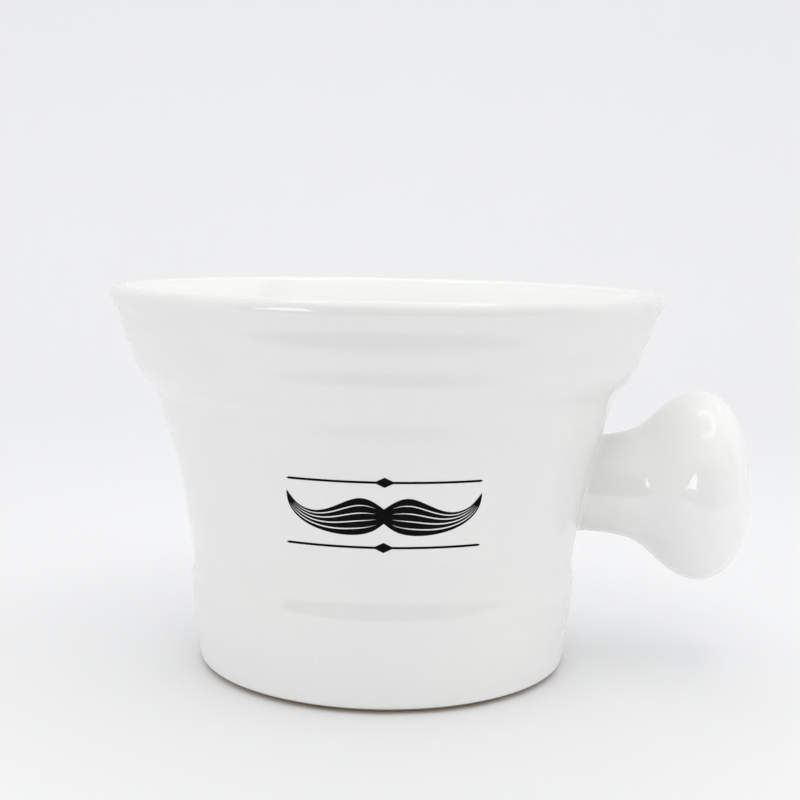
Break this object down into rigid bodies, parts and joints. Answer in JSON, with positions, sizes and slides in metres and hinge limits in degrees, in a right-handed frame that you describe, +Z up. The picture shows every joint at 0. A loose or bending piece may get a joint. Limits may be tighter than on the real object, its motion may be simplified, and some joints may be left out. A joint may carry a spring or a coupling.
{
  "type": "shaving mug",
  "caption": "Wide ceramic lather cup with a flared collar, a footed base and a turned knob handle on one side.",
  "frame": {"origin": "middle of the bounding box's footprint, on the surface the mug stands on; the cup's own axis is at x = -0.01065 m", "axes": "+Z up along the cup's axis, +X towards the knob handle, -Y the side with the ornament"},
  "size_m": [0.1483, 0.127, 0.0877],
  "materials": {
    "white_glaze": "clear gloss glaze over a white body, bare on the foot ring",
    "glazed_slip": "gloss glaze pooled in the joint",
    "fired_black_ink": "fired-on black print, soft gloss"
  },
  "bodies": {
    "root": {"mug_body": "white_glaze", "knob_handle": "white_glaze", "handle_joint_slip": "glazed_slip", "ornament_moustache": "fired_black_ink", "ornament_rule_upper": "fired_black_ink", "ornament_rule_lower": "fired_black_ink"}
  },
  "joints": []
}
